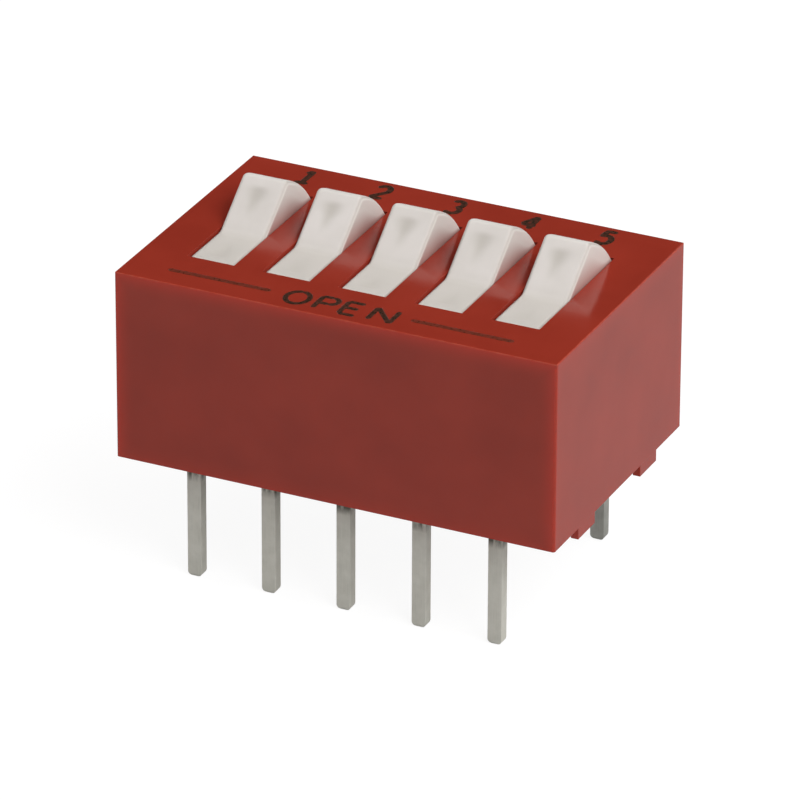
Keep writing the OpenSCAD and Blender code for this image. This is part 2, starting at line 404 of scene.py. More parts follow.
def blend_colours(tree, mask, first, second):
    """A colour that goes from first to second as mask goes from 0 to 1. Each is a colour or an output."""
    mix = add(tree, "ShaderNodeMix", data_type="RGBA", Factor=mask)
    connect(tree, first, mix.inputs[6])
    connect(tree, second, mix.inputs[7])
    return mix.outputs[2]


def blend_numbers(tree, mask, first, second):
    """A number that goes from first to second as mask goes from 0 to 1. Each is a number or an output."""
    mix = add(tree, "ShaderNodeMix", data_type="FLOAT", Factor=mask)
    connect(tree, first, mix.inputs[2])
    connect(tree, second, mix.inputs[3])
    return mix.outputs[0]


# ---------- Shared effects ----------

# Share of fine grain in a moulded skin's height, and the noise range over which a painted edge highlight
# breaks up
FINE_SHARE = 0.25
PATCHY_RANGE = (0.35, 0.65)

# Painted shade on a rocker's sides: the gain on how far an edge faces up, and the range over which the flank
# sets in
FACING_GAIN = 1.7
FLANK_RANGE = (0.8, 1.0)

# Clouds in drawn metal, in cycles per metre
CLOUD_SCALE = 2600.0


def moulded_skin():
    """Orange-peel height and slow mottling of a moulded surface, from noise at three sizes."""
    sizes = [("Peel", 3000.0), ("Grain", 16000.0), ("Mottle", 700.0)]
    tree, given, out = group("moulded_skin", sizes, ["Height", "Mottle"])
    place = add(tree, "ShaderNodeTexCoord").outputs["Object"]
    fine = maths(tree, "MULTIPLY", noise(tree, place, given["Grain"], 3.0), FINE_SHARE)
    connect(tree, maths(tree, "ADD", noise(tree, place, given["Peel"], 2.0), fine), out["Height"])
    connect(tree, noise(tree, place, given["Mottle"], 2.0), out["Mottle"])
    return tree


def box_edge():
    """Where the edges of a box-like part are, for painted highlights on them and a painted glow near them.
    Half length, Half width, Top, Bottom and Reach are in metres.

    Mask is 1 on rounded edges and 0 on flat faces, as a painted highlight: 1 less the normal's largest part
    along x, y or z, times Gain, times a noise between Least and 1.
    d is the distance to the nearest edge of the box, which is the middle one of the three distances to its
    end, side and top planes.
    Near, a painted glow, is (1 - d / Reach) squared, or Lower times the same of the height above Bottom if
    that is more, times the normal's part along y plus Ends times its part along x.
    Rim, a painted highlight on the upper edges, is (1 - d / Reach) squared times Mask times twice the
    normal's part along z.
    """
    settings = [("Gain", 4.0), ("Breakup", 6000.0), ("Least", 0.35), ("Ends", 0.3), ("Lower", 0.3)]
    sizes = [("Half length", 0.01), ("Half width", 0.01), ("Top", 0.01), ("Bottom", 0.0), ("Reach", 0.0004)]
    tree, given, out = group("box_edge", settings + sizes, ["Mask", "Rim", "Near"])
    here = add(tree, "ShaderNodeTexCoord").outputs
    turn, spot = parts_of(tree, here["Normal"]), parts_of(tree, here["Object"])
    along_x, along_y, along_z = (maths(tree, "ABSOLUTE", turn[axis]) for axis in "XYZ")
    largest = maths(tree, "MAXIMUM", maths(tree, "MAXIMUM", along_x, along_y), along_z)
    rounded = maths(tree, "MULTIPLY", maths(tree, "SUBTRACT", 1.0, largest), given["Gain"], clamp=True)
    breakup = noise(tree, here["Object"], given["Breakup"], 3.0)
    patchy = spread(tree, breakup, *PATCHY_RANGE, given["Least"], 1.0)
    mask = maths(tree, "MULTIPLY", rounded, patchy, clamp=True)
    end = maths(tree, "SUBTRACT", given["Half length"], maths(tree, "ABSOLUTE", spot["X"]))
    side = maths(tree, "SUBTRACT", given["Half width"], maths(tree, "ABSOLUTE", spot["Y"]))
    top = maths(tree, "SUBTRACT", given["Top"], spot["Z"])
    farther = maths(tree, "MINIMUM", maths(tree, "MAXIMUM", end, side), top)
    middle = maths(tree, "MAXIMUM", maths(tree, "MINIMUM", end, side), farther)
    height = maths(tree, "SUBTRACT", spot["Z"], given["Bottom"])
    near, low = fading(tree, middle, given["Reach"]), fading(tree, height, given["Reach"])
    nearest = maths(tree, "MAXIMUM", near, maths(tree, "MULTIPLY", low, given["Lower"]))
    faces = maths(tree, "ADD", along_y, maths(tree, "MULTIPLY", along_x, given["Ends"]), clamp=True)
    upper = maths(tree, "MULTIPLY", mask, maths(tree, "MULTIPLY", turn["Z"], 2.0, clamp=True))
    connect(tree, mask, out["Mask"])
    connect(tree, maths(tree, "MULTIPLY", nearest, faces), out["Near"])
    connect(tree, maths(tree, "MULTIPLY", near, upper), out["Rim"])
    return tree


def drawn_streaks():
    """Fine streaks along z, as drawing and tinning leave them: noise stretched many times along z."""
    sizes = [("Across", 26000.0), ("Along", 900.0)]
    tree, given, out = group("drawn_streaks", sizes, ["Streak", "Cloud"])
    place = add(tree, "ShaderNodeTexCoord").outputs["Object"]
    spot = parts_of(tree, place)
    x, y = (maths(tree, "MULTIPLY", spot[axis], given["Across"]) for axis in "XY")
    z = maths(tree, "MULTIPLY", spot["Z"], given["Along"])
    scaled = add(tree, "ShaderNodeCombineXYZ", X=x, Y=y, Z=z).outputs[0]
    connect(tree, noise(tree, scaled, 1.0, 4.0), out["Streak"])
    connect(tree, noise(tree, place, CLOUD_SCALE, 3.0), out["Cloud"])
    return tree


def rocker_side():
    """Painted shade on a rocker's sides, from its level attribute: its shape in millimetres with the wings
    level.

    n is the normal's part across the rocker. Edge, painted shade on the side edges, is 4 n^2 (1 - n^2), less
    where the edge faces sideways or down. Flank, painted shade on the flanks, is n^2 spread over FLANK_RANGE.
    Foot, painted shade with a painted red bounce, is Flank times (1 - h / s) to the power of FOOT_SHADE_FADE,
    where h is the height above the housing's top when that wing is up, and s goes smoothly from Front to Rear
    along the wing.
    """
    tree, given, out = group("rocker_side", [("Front", 0.8), ("Rear", 0.1)], ["Edge", "Flank", "Foot"])
    turn = parts_of(tree, add(tree, "ShaderNodeTexCoord").outputs["Normal"])
    level = parts_of(tree, add(tree, "ShaderNodeAttribute", attribute_name="level").outputs["Vector"])
    across = maths(tree, "MULTIPLY", turn["X"], turn["X"])
    product = maths(tree, "MULTIPLY", across, maths(tree, "SUBTRACT", 1.0, across))
    facing_up = maths(tree, "MULTIPLY", turn["Z"], FACING_GAIN, clamp=True)
    edge = maths(tree, "MULTIPLY", maths(tree, "MULTIPLY", product, 4.0), facing_up)
    flank = spread(tree, across, *FLANK_RANGE)
    t, c = math.sin(ROCKER_TILT), math.cos(ROCKER_TILT)
    y, z = maths(tree, "ABSOLUTE", level["Y"]), level["Z"]
    above_pivot = maths(tree, "ADD", maths(tree, "MULTIPLY", y, t), maths(tree, "MULTIPLY", z, c))
    raised = maths(tree, "SUBTRACT", above_pivot, PIVOT_DEPTH)
    outward = maths(tree, "SUBTRACT", maths(tree, "MULTIPLY", y, c), maths(tree, "MULTIPLY", z, t))
    reach = spread(tree, outward, FOOT_SHADE_START, FOOT_SHADE_END, given["Front"], given["Rear"], "SMOOTHSTEP")
    left = maths(tree, "SUBTRACT", 1.0, maths(tree, "DIVIDE", raised, reach), clamp=True)
    foot = maths(tree, "POWER", left, FOOT_SHADE_FADE)
    connect(tree, edge, out["Edge"])
    connect(tree, flank, out["Flank"])
    connect(tree, maths(tree, "MULTIPLY", foot, flank), out["Foot"])
    return tree


SKIN, BOX_EDGE, STREAKS, SIDE_SHADE = moulded_skin(), box_edge(), drawn_streaks(), rocker_side()


# ---------- Finishes ----------

# Ranges of noise over which a finish goes from one value to the other. Flux covers at least LEAST_FLUX near
# the rim, and bright streaks are rougher by STREAK_ROUGHNESS.
PEEL_RANGE = (0.3, 0.9)
CLOUD_RANGE = (0.35, 0.65)
BRIGHT_STREAKS = (0.35, 0.75)
FLUX_RUNS = (0.38, 0.56)
LEAST_FLUX = 0.15
STREAK_ROUGHNESS = 0.16


def use(tree, effect, **values):
    """Places a shared effect in a material with its own values, and gives its outputs."""
    return add(tree, "ShaderNodeGroup", node_tree=effect, **values).outputs


def start_finish(name, **values):
    """A new material with a Principled shader, whose uniform values are set on its own sockets."""
    material = bpy.data.materials.new(name)
    material.use_nodes = True
    tree = material.node_tree
    tree.nodes.clear()
    shader = add(tree, "ShaderNodeBsdfPrincipled", **values)
    add(tree, "ShaderNodeOutputMaterial", Surface=shader.outputs[0])
    return material, tree, shader.inputs


def surface(tree, shader, colour, roughness, relief, height):
    """Gives a shader its changing colour and roughness, and a fine relief whose height is in microns."""
    connect(tree, colour, shader["Base Color"])
    connect(tree, roughness, shader["Roughness"])
    bump = add(tree, "ShaderNodeBump", Distance=height * MICRON, Height=relief)
    connect(tree, bump.outputs["Normal"], shader["Normal"])


def mottled(tree, skin, dark, light):
    """A colour that wanders between a dark and a light one with the skin's mottling."""
    return blend_colours(tree, spread_noise(tree, skin["Mottle"]), dark, light)


def red_plastic():
    """Glossy red moulding, with a painted glow near the edges of its upright faces, a painted highlight on
    its rounded edges, and the palest painted highlight along its upper rim.
    """
    material, tree, shader = start_finish("housing_red_plastic", Specular_IOR_Level=0.42)
    skin = use(tree, SKIN, Peel=2600.0, Grain=18000.0, Mottle=520.0)
    edge = use(
        tree, BOX_EDGE, Gain=8.0, Breakup=5000.0, Least=0.45, Ends=0.35, Lower=0.35, Reach=EDGE_REACH * MM,
        Half_length=housing_high.x * MM, Half_width=housing_high.y * MM, Top=top_z * MM, Bottom=rim_z * MM,
    )
    body = mottled(tree, skin, RED_DARK, RED_LIGHT)
    # Painted glow near the edges of the upright faces, as if light came through the moulding there
    near = blend_colours(tree, edge["Near"], body, RED_PAINTED_GLOW)
    # Painted highlight on the rounded edges
    rounded = blend_colours(tree, edge["Mask"], near, RED_EDGE_HIGHLIGHT)
    # Brightest painted highlight along the upper rim
    colour = blend_colours(tree, edge["Rim"], rounded, RED_RIM_HIGHLIGHT)
    surface(tree, shader, colour, spread_noise(tree, skin["Mottle"], 0.1, 0.17), skin["Height"], 0.9)
    return material


def white_plastic():
    """Satin white moulding, with painted shade in its hollows, at its crease, over its pressed wing, on its
    flanks and side edges, and painted shade with a painted red bounce at the foot of its flanks.
    """
    material, tree, shader = start_finish("rocker_white_plastic", Specular_IOR_Level=0.4)
    skin = use(tree, SKIN, Peel=3500.0, Grain=22000.0, Mottle=900.0)
    side = use(tree, SIDE_SHADE, Front=FOOT_SHADE_FRONT, Rear=FOOT_SHADE_REAR)
    painted_shade = add(tree, "ShaderNodeAttribute", attribute_name="painted_shade").outputs["Fac"]
    body = mottled(tree, skin, WHITE_DARK, WHITE_LIGHT)
    # Painted shade in the hollows, at the crease and over the pressed wing
    shaded = blend_colours(tree, painted_shade, body, WHITE_PAINTED_SHADE)
    # Painted shade on the flanks
    flanks = blend_colours(tree, side["Flank"], shaded, WHITE_FLANK_SHADE)
    # Painted shade on the side edges
    edged = blend_colours(tree, side["Edge"], flanks, WHITE_EDGE_SHADE)
    # Painted shade with a painted red bounce at the foot of the flanks
    colour = blend_colours(tree, side["Foot"], edged, WHITE_FOOT_SHADE_AND_BOUNCE)
    surface(tree, shader, colour, spread_noise(tree, skin["Mottle"], 0.4, 0.5), skin["Height"], 1.2)
    return material


def black_plastic():
    """Matt black moulding."""
    material, tree, shader = start_finish("base_black_plastic", Specular_IOR_Level=0.45)
    skin = use(tree, SKIN, Peel=6000.0, Grain=26000.0, Mottle=1200.0)
    roughness = spread(tree, skin["Height"], *PEEL_RANGE, 0.45, 0.65)
    surface(tree, shader, mottled(tree, skin, BLACK_DARK, BLACK_LIGHT), roughness, skin["Height"], 3.0)
    return material


def cast_epoxy():
    """Glossy dark brown epoxy with a slow swell."""
    material, tree, shader = start_finish("seal_cast_epoxy", Specular_IOR_Level=0.5)
    skin = use(tree, SKIN, Peel=900.0, Grain=9000.0, Mottle=1500.0)
    roughness = spread_noise(tree, skin["Mottle"], 0.12, 0.3)
    surface(tree, shader, mottled(tree, skin, EPOXY_DARK, EPOXY_LIGHT), roughness, skin["Height"], 20.0)
    return material


def tinned_strip(name, metallic, roughness, dark, light):
    """Tin plate between a dark and a light colour, darker where flux has run down from the rim."""
    material, tree, shader = start_finish(name, Metallic=metallic)
    streaks = use(tree, STREAKS, Across=26000.0, Along=900.0)
    runs = use(tree, STREAKS, Across=6500.0, Along=1600.0)
    height = parts_of(tree, add(tree, "ShaderNodeTexCoord").outputs["Object"])["Z"]
    near_rim = spread(tree, height, (rim_z - FLUX_LOW) * MM, (rim_z - FLUX_HIGH) * MM)
    stain = maths(tree, "MULTIPLY", near_rim, spread(tree, runs["Streak"], *FLUX_RUNS, LEAST_FLUX, 1.0))
    body = blend_colours(tree, spread(tree, streaks["Cloud"], *CLOUD_RANGE), dark, light)
    brushed = blend_colours(tree, spread(tree, streaks["Streak"], *BRIGHT_STREAKS), body, light)
    colour = blend_colours(tree, stain, brushed, TIN_FLUX)
    rough = spread_noise(tree, streaks["Streak"], roughness, roughness + STREAK_ROUGHNESS)
    surface(tree, shader, colour, rough, streaks["Cloud"], 3.0)
    return material


def spring_wire():
    """Bright drawn steel wire."""
    material, tree, shader = start_finish("spring_steel_wire", Metallic=1.0)
    streaks = use(tree, STREAKS, Across=30000.0, Along=30000.0)
    colour = blend_colours(tree, streaks["Cloud"], STEEL_DARK, STEEL_LIGHT)
    surface(tree, shader, colour, spread_noise(tree, streaks["Streak"], 0.2, 0.35), streaks["Streak"], 0.6)
    return material


def gold_plate():
    """Polished gold plate."""
    material, tree, shader = start_finish("ball_gold_plate", Metallic=1.0)
    skin = use(tree, SKIN, Peel=5000.0, Grain=24000.0, Mottle=2400.0)
    roughness = spread_noise(tree, skin["Mottle"], 0.12, 0.24)
    surface(tree, shader, mottled(tree, skin, GOLD_DARK, GOLD_LIGHT), roughness, skin["Height"], 0.8)
    return material


def printing_ink(name, dark, worn, wear):
    """Thin dark ink that lets the red through where it is worn, as its noise goes over the range wear."""
    material, tree, shader = start_finish(name, Specular_IOR_Level=0.3)
    skin = use(tree, SKIN, Peel=9000.0, Grain=30000.0, Mottle=11000.0)
    colour = blend_colours(tree, spread(tree, skin["Mottle"], *wear), dark, worn)
    surface(tree, shader, colour, spread_noise(tree, skin["Mottle"], 0.25, 0.4), skin["Height"], 1.0)
    return material


RED, WHITE, BLACK, EPOXY = red_plastic(), white_plastic(), black_plastic(), cast_epoxy()
STEEL, GOLD = spring_wire(), gold_plate()
# Front and rear terminals are one tin: the front copy carries painted light, the rear copy painted shade
TIN = {
    "front": tinned_strip("lit_front_terminal_tin_plate", 0.35, 0.42, LIT_TIN_DARK, LIT_TIN_LIGHT),
    "rear": tinned_strip("shaded_rear_terminal_tin_plate", 0.85, 0.3, SHADED_TIN_DARK, SHADED_TIN_LIGHT),
}
INK = printing_ink("marking_ink", INK_DARK, INK_WORN, (0.45, 0.75))
FAINT_INK = printing_ink("faint_marking_ink", FAINT_INK_DARK, FAINT_INK_WORN, (0.35, 0.65))


# ---------- Rockers ----------


def half_outline():
    """Side view of the half of a rocker towards +y, wings level, from the crease clockwise to the stem's end.

    The pivot is at (0, 0). The parts are straight lines and arcs that touch without a corner: crease, wing,
    crown, end face about the pivot, toe, underside, stem root, stem side and stem end. Beside each (y, z)
    point are its distance from the wing's end, measured along the wing, and the radius of the rounding
    towards the rocker's sides.
    """
    t, c = math.sin(ROCKER_TILT), math.cos(ROCKER_TILT)
    along, out_up, out_down = np.array([c, t]), np.array([-t, c]), np.array([t, -c])
    up = math.atan2(out_up[1], out_up[0])
    down = math.atan2(out_down[1], out_down[0])

    crease_centre = (0, CREASE_HEIGHT + CREASE_ROUND / c)
    crease = arc(crease_centre, CREASE_ROUND, -math.pi / 2, ROCKER_TILT - math.pi / 2, CREASE_STEPS)
    base = np.array([0, CREASE_HEIGHT]) - CROWN_ROUND * out_up
    run = -base @ along + math.sqrt((base @ along) ** 2 - base @ base + (ROCKER_REACH - CROWN_ROUND) ** 2)
    crown_centre = base + run * along
    crown_turn = math.atan2(crown_centre[1], crown_centre[0])
    crown = arc(crown_centre, CROWN_ROUND, up, crown_turn, CROWN_STEPS)
    wing = line(crease[-1], crown[0], WING_STEPS)
    toe_in = UNDERSIDE_DEPTH - TOE_ROUND
    toe_centre = toe_in * out_down + math.sqrt((ROCKER_REACH - TOE_ROUND) ** 2 - toe_in**2) * along
    toe_turn = math.atan2(toe_centre[1], toe_centre[0])
    face = arc((0, 0), ROCKER_REACH, crown_turn, toe_turn, FACE_STEPS)[1:-1]
    toe = arc(toe_centre, TOE_ROUND, toe_turn, down, TOE_STEPS)
    root_y = STEM_HALF + STEM_ROOT_ROUND
    root_centre = (root_y, (root_y * t - UNDERSIDE_DEPTH - STEM_ROOT_ROUND) / c)
    root = arc(root_centre, STEM_ROOT_ROUND, up, math.pi, ROOT_STEPS)
    foot_centre = (STEM_HALF - STEM_END_ROUND, STEM_END_ROUND - STEM_LENGTH)
    foot = arc(foot_centre, STEM_END_ROUND, 0, -math.pi / 2, FOOT_STEPS)
    stem_end = np.array([[0, -STEM_LENGTH]])
    parts = [
        (crease, WING_EDGE),
        (wing, WING_EDGE),
        (crown, WING_EDGE),
        (face, np.linspace(WING_EDGE, LOWER_EDGE, len(face))),
        (toe, LOWER_EDGE),
        (line(toe[-1], root[0], UNDERSIDE_STEPS), LOWER_EDGE),
        (root, LOWER_EDGE),
        (line(root[-1], foot[0], STEM_STEPS), LOWER_EDGE),
        (foot, LOWER_EDGE),
        (line(foot[-1], stem_end[0], STEM_END_STEPS), LOWER_EDGE),
        (stem_end, LOWER_EDGE),
    ]
    points = np.concatenate([p for p, _ in parts])
    edge = np.concatenate([np.broadcast_to(e, len(p)) for p, e in parts])
    outward = points @ along
    first_crown = len(crease) + len(wing)
    wing_end = outward[first_crown] + CROWN_ROUND * CROWN_SHARE
    from_end = np.where(np.arange(len(points)) < first_crown, wing_end - outward, OFF_WING)
    return points, from_end, edge


def hollow_shape(from_end, x):
    """A finger hollow's form, from 0 to 1.

    It is a rise and a longer fall along the wing, times a bell across it that narrows towards the crease.
    """
    along = smooth_step(from_end, *HOLLOW_RISE) * (1 - smooth_step(from_end, *HOLLOW_FALL))
    half_width = HOLLOW_HALF_WIDTH - HOLLOW_NARROWING * smooth_step(from_end, *HOLLOW_TAPER)
    return along * np.exp(-((x / half_width) ** 2))


def mark_painted_shade(mesh):
    """Stores on a rocker whose wings are level its level shape, and painted shade from 0 to 1.

    The painted shade lies in the hollows, at the crease and over the pressed wing. A point counts for a
    hollow as it nears the wing's plane, the line through the crease at the angle of the wing.
    """
    points = np.empty(len(mesh.vertices) * 3)
    mesh.vertices.foreach_get("co", points)
    x, y, z = points.reshape(-1, 3).T
    t, c = math.sin(ROCKER_TILT), math.cos(ROCKER_TILT)
    under_wing = CREASE_HEIGHT * c - z * c + np.abs(y) * t
    wing_end = math.sqrt(ROCKER_REACH**2 - (CREASE_HEIGHT * c) ** 2)
    from_end = wing_end - (np.abs(y) * c + z * t)
    hollow = hollow_shape(from_end, x - SHADE_SHIFT) * (1 - smooth_step(under_wing, *SHADE_DEPTHS))
    hollow_shade = np.where(y > 0, REAR_HOLLOW_SHADE, FRONT_HOLLOW_SHADE) * hollow
    pressed_shade = PRESSED_SHADE * smooth_step(-y, *PRESSED_RANGE)
    painted_shade = hollow_shade + pressed_shade + CREASE_SHADE * np.exp(-((y / CREASE_SPREAD) ** 2))
    mesh.attributes.new("painted_shade", "FLOAT", "POINT").data.foreach_set("value", np.clip(painted_shade, 0, 1))
    mesh.attributes.new("level", "FLOAT_VECTOR", "POINT").data.foreach_set("vector", points)


def rocker_shell():
    """The rocker's outline carried across its width.

    In the last stretch of radius e before each side, the outline shrinks by e (1 - cos f) while x moves out
    to w/2 - e (1 - sin f), which rounds the edge to a quarter circle. The hollows push the wings in.
    """
    half, from_end, edge = half_outline()
    outline = np.concatenate([half, half[-2:0:-1] * [-1, 1]])
    from_end = np.concatenate([from_end, from_end[-2:0:-1]])
    edge = np.concatenate([edge, edge[-2:0:-1]])[:, None]
    ahead, behind = np.roll(outline, -1, 0) - outline, outline - np.roll(outline, 1, 0)
    ahead /= np.linalg.norm(ahead, axis=1, keepdims=True)
    behind /= np.linalg.norm(behind, axis=1, keepdims=True)
    tangent = ahead + behind
    tangent /= np.linalg.norm(tangent, axis=1, keepdims=True)
    outward = np.column_stack([-tangent[:, 1], tangent[:, 0]])

    f = np.linspace(0, math.pi / 2, SIDE_STEPS)
    shrink = edge * (1 - np.cos(f))
    side_x = ROCKER_WIDTH / 2 - edge * (1 - np.sin(f))
    flat_x = np.linspace(-1, 1, FLAT_STEPS)[None, 1:-1] * (ROCKER_WIDTH / 2 - edge)
    x = np.concatenate([-side_x[:, ::-1], flat_x, side_x], 1)
    inset = np.concatenate([shrink[:, ::-1], np.zeros_like(flat_x), shrink], 1)
    inset = inset + HOLLOW_DEPTH * hollow_shape(from_end[:, None], x)
    y = outline[:, :1] - outward[:, :1] * inset
    z = outline[:, 1:] - outward[:, 1:] * inset
    rows, columns = x.shape
    points = np.stack([x, y, z], -1).reshape(-1, 3)
    quads = grid_faces(rows, columns, close_rows=True)[:, ::-1]
    left = np.arange(rows) * columns
    return points, quads, [left.tolist(), (left + columns - 1)[::-1].tolist()]


def trunnion(side):
    """A short round pin with a softened end, turned about x, from inside the rocker out past its side."""
    r, e = TRUNNION_RADIUS, TRUNNION_ROUND
    end = ROCKER_WIDTH / 2 + TRUNNION_LENGTH
    rounding = arc((r - e, end - e), e, 0, math.pi / 2, TRUNNION_ROUND_STEPS)
    profile = np.concatenate([[[r, ROCKER_WIDTH / 2 - TRUNNION_SUNK]], rounding])
    points, quads, caps = lathe(profile, TRUNNION_STEPS)
    turned = np.column_stack([points[:, 2] * side, points[:, 1], points[:, 0] * -side])
    return turned, quads, caps


def rocker_blank():
    """The rocker about its pivot, wings level, with the spring bore cut up its stem."""

    def build(helper):
        bore = np.array([[BORE_RADIUS, -STEM_LENGTH - BORE_OVERRUN], [BORE_RADIUS, BORE_TOP]])
        cutter = bpy.data.objects.new("cutter", mesh_from("cutter", *lathe(bore, BORE_STEPS)))
        bpy.context.scene.collection.objects.link(cutter)
        cut = helper.modifiers.new("bore", "BOOLEAN")
        cut.operation = "DIFFERENCE"
        cut.object = cutter
        return [cutter]

    bored = even_shading(with_modifiers(mesh_from("rocker_blank", *rocker_shell()), build))
    mark_painted_shade(bored)
    return bored


rocker_form = rocker_blank()
for i in POSITIONS:
    rocker = rocker_form.copy()
    rocker.transform(seats[i])
    piece(f"rocker_piece_{i}", rocker, f"lever_{i}", WHITE, [f"rocker_{i}"])
    pins = joined("trunnions", [trunnion(-1), trunnion(1)])
    pins.transform(seats[i])
    piece(f"trunnions_{i}", even_shading(pins), f"lever_{i}", WHITE)


# ---------- Springs ----------


def coil():
    """A round wire on a helix with its centre line at (R cos t, R sin t, h(t)).

    h climbs by one wire a turn in the closed end turns, and evenly between them.
    """
    turn = np.linspace(0, SPRING_TURNS, round(SPRING_TURNS * TURN_STEPS) + 1)
    open_turns = SPRING_TURNS - 2 * SPRING_DEAD
    pitch = (SPRING_LOW + SPRING_HIGH - SPRING_WIRE * (1 + 2 * SPRING_DEAD)) / open_turns
    closed = np.minimum(turn, SPRING_DEAD) + np.maximum(0, turn - SPRING_DEAD - open_turns)
    h = SPRING_WIRE / 2 + SPRING_WIRE * closed + pitch * np.clip(turn - SPRING_DEAD, 0, open_turns)
    t = (turn * 2 * np.pi)[:, None]
    a = (np.arange(WIRE_STEPS) * 2 * np.pi / WIRE_STEPS)[None, :]
    r = SPRING_RADIUS + SPRING_WIRE / 2 * np.cos(a)
    z = h[:, None] + SPRING_WIRE / 2 * np.sin(a) - SPRING_LOW
    points = np.stack([r * np.cos(t), r * np.sin(t), z], -1).reshape(-1, 3)
    return points, *tube_faces(len(t), WIRE_STEPS)


for i in POSITIONS:
    wire = mesh_from("coil", *coil())
    wire.shade_smooth()
    wire.transform(seats[i])
    piece(f"coil_spring_{i}", wire, f"lever_{i}", STEEL, [f"spring_{i}"])


# ---------- Housing, terminals, base ----------

piece("housing_shell", softened_copy("housing", WINDOW_ROUND), "case", RED, ["housing"])
for side in SIDES:
    for i in POSITIONS:
        node = f"terminal_{side}_{i}"
        piece(f"{node}_plated", softened_copy(node, PIN_ROUND), "case", TIN[side], [node])


def pin_collar(pin_low, pin_high, seal_z):
    """Epoxy drawn up around a pin: at a distance d from the pin's sides it stands out by H (1 - d / R)^2.

    Each ring is the pin's outline moved out by d: a quarter circle of radius d about each of its corners.
    """
    d = np.linspace(0, COLLAR_REACH, COLLAR_RINGS)[:, None]
    a = np.linspace(0, 2 * math.pi, COLLAR_STEPS, endpoint=False) + math.pi / COLLAR_STEPS
    middle, half = (pin_low + pin_high) / 2, (pin_high - pin_low) / 2
    x = middle.x + half.x * np.sign(np.cos(a)) + d * np.cos(a)
    y = middle.y + half.y * np.sign(np.sin(a)) + d * np.sin(a)
    z = np.broadcast_to(seal_z - COLLAR_HEIGHT * (1 - d / COLLAR_REACH) ** 2, x.shape)
    return np.stack([x, y, z], -1).reshape(-1, 3), grid_faces(*x.shape, close_columns=True)[:, ::-1], []


seal_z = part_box("base_seal")[0].z / MM
collar_parts = []
for side in SIDES:
    for i in POSITIONS:
        low, high = (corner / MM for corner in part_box(f"terminal_{side}_{i}"))
        pin_y = low.y + PIN_THICKNESS / 2 if side == "front" else high.y - PIN_THICKNESS / 2
        middle = Vector((pivots[i].x, pin_y))
        half = Vector((PIN_WIDTH, PIN_THICKNESS)) / 2
        collar_parts.append(pin_collar(middle - half, middle + half, seal_z))
collars = joined("collars", collar_parts)
collars.shade_smooth()
piece("seal_collars", collars, "case", EPOXY)

cad_finishes = {"base": BLACK, "base_seal": EPOXY, **{f"ball_{i}": GOLD for i in POSITIONS}}
for node, finish in cad_finishes.items():
    frame["nodes"][node].material_slots[0].material = finish


# ---------- Markings ----------


def stroke(path, width, film=INK_THICKNESS):
    """A film of ink along a path. Its width shrinks as a half circle at each end of the path.

    Across the path the film rises to its thickness from the edge to INK_SHOULDER of the half width, and stays
    there over the middle.
    """
    path = np.asarray(path, float)
    step = np.linalg.norm(np.diff(path, axis=0), axis=1)
    s = np.concatenate([[0], np.cumsum(step)])
    total, half = s[-1], width / 2
    ends = half * (1 - np.cos(np.linspace(0, math.pi / 2, STROKE_END_STEPS)))
    middle = s[(s > half) & (s < total - half)]
    new_s = np.unique(np.concatenate([ends, middle, total - ends]))
    centre = np.column_stack([np.interp(new_s, s, path[:, k]) for k in (0, 1)])
    tangent = np.gradient(centre, new_s, axis=0)
    tangent /= np.linalg.norm(tangent, axis=1, keepdims=True)
    normal = np.column_stack([-tangent[:, 1], tangent[:, 0]])
    gap = np.minimum(new_s, total - new_s)
    w = np.sqrt(np.maximum(0, half**2 - np.maximum(0, half - gap) ** 2)) + INK_TIP
    across = np.array([-1, -INK_SHOULDER, 0, INK_SHOULDER, 1])
    high = np.array([0, 1, 1, 1, 0]) * film
    xy = centre[:, None, :] + normal[:, None, :] * (w[:, None] * across)[:, :, None]
    z = np.broadcast_to(high + top_z, (len(centre), len(across)))[:, :, None]
    return np.concatenate([xy, z], -1).reshape(-1, 3), *tube_faces(len(centre), len(across))


def straight(*corners):
    """Straight lines through the given corners."""
    parts = [np.array([corners[0]], float)]
    for a, b in zip(corners, corners[1:]):
        parts += [line(a, b, STRAIGHT_STEPS), np.array([b], float)]
    return np.concatenate(parts)


def degrees(*values):
    """Angles given in degrees, in radians."""
    return [math.radians(v) for v in values]


def bowl(centre, radii, start, end):
    """Part of an ellipse, as (cx + rx cos a, cy + ry sin a)."""
    return arc(centre, radii, *degrees(start, end), BOWL_STEPS)


# Strokes of the numerals and letters, each drawn in a square that goes from (0, 0) to (1, 1)
NUMERALS = {
    1: [
        straight((0.2, 0.76), (0.55, 1.0)),
        straight((0.55, 1.0), (0.5, 0.0)),
        straight((0.0, 0.0), (0.95, 0.0)),
    ],
    2: [
        np.concatenate([bowl((0.5, 0.7), (0.42, 0.3), 165, -30), straight((0.86, 0.55), (0.05, 0.0))[1:]]),
        straight((0.05, 0.0), (0.95, 0.0)),
    ],
    3: [
        bowl((0.46, 0.75), (0.38, 0.25), 155, -90),
        bowl((0.46, 0.27), (0.46, 0.27), 90, -150),
    ],
    4: [
        straight((0.7, 0.0), (0.7, 1.0)),
        straight((0.7, 1.0), (0.02, 0.3)),
        straight((0.02, 0.3), (1.0, 0.3)),
    ],
    5: [
        straight((0.9, 1.0), (0.22, 1.0), (0.13, 0.52)),
        bowl((0.46, 0.33), (0.45, 0.33), 135, -150),
    ],
}
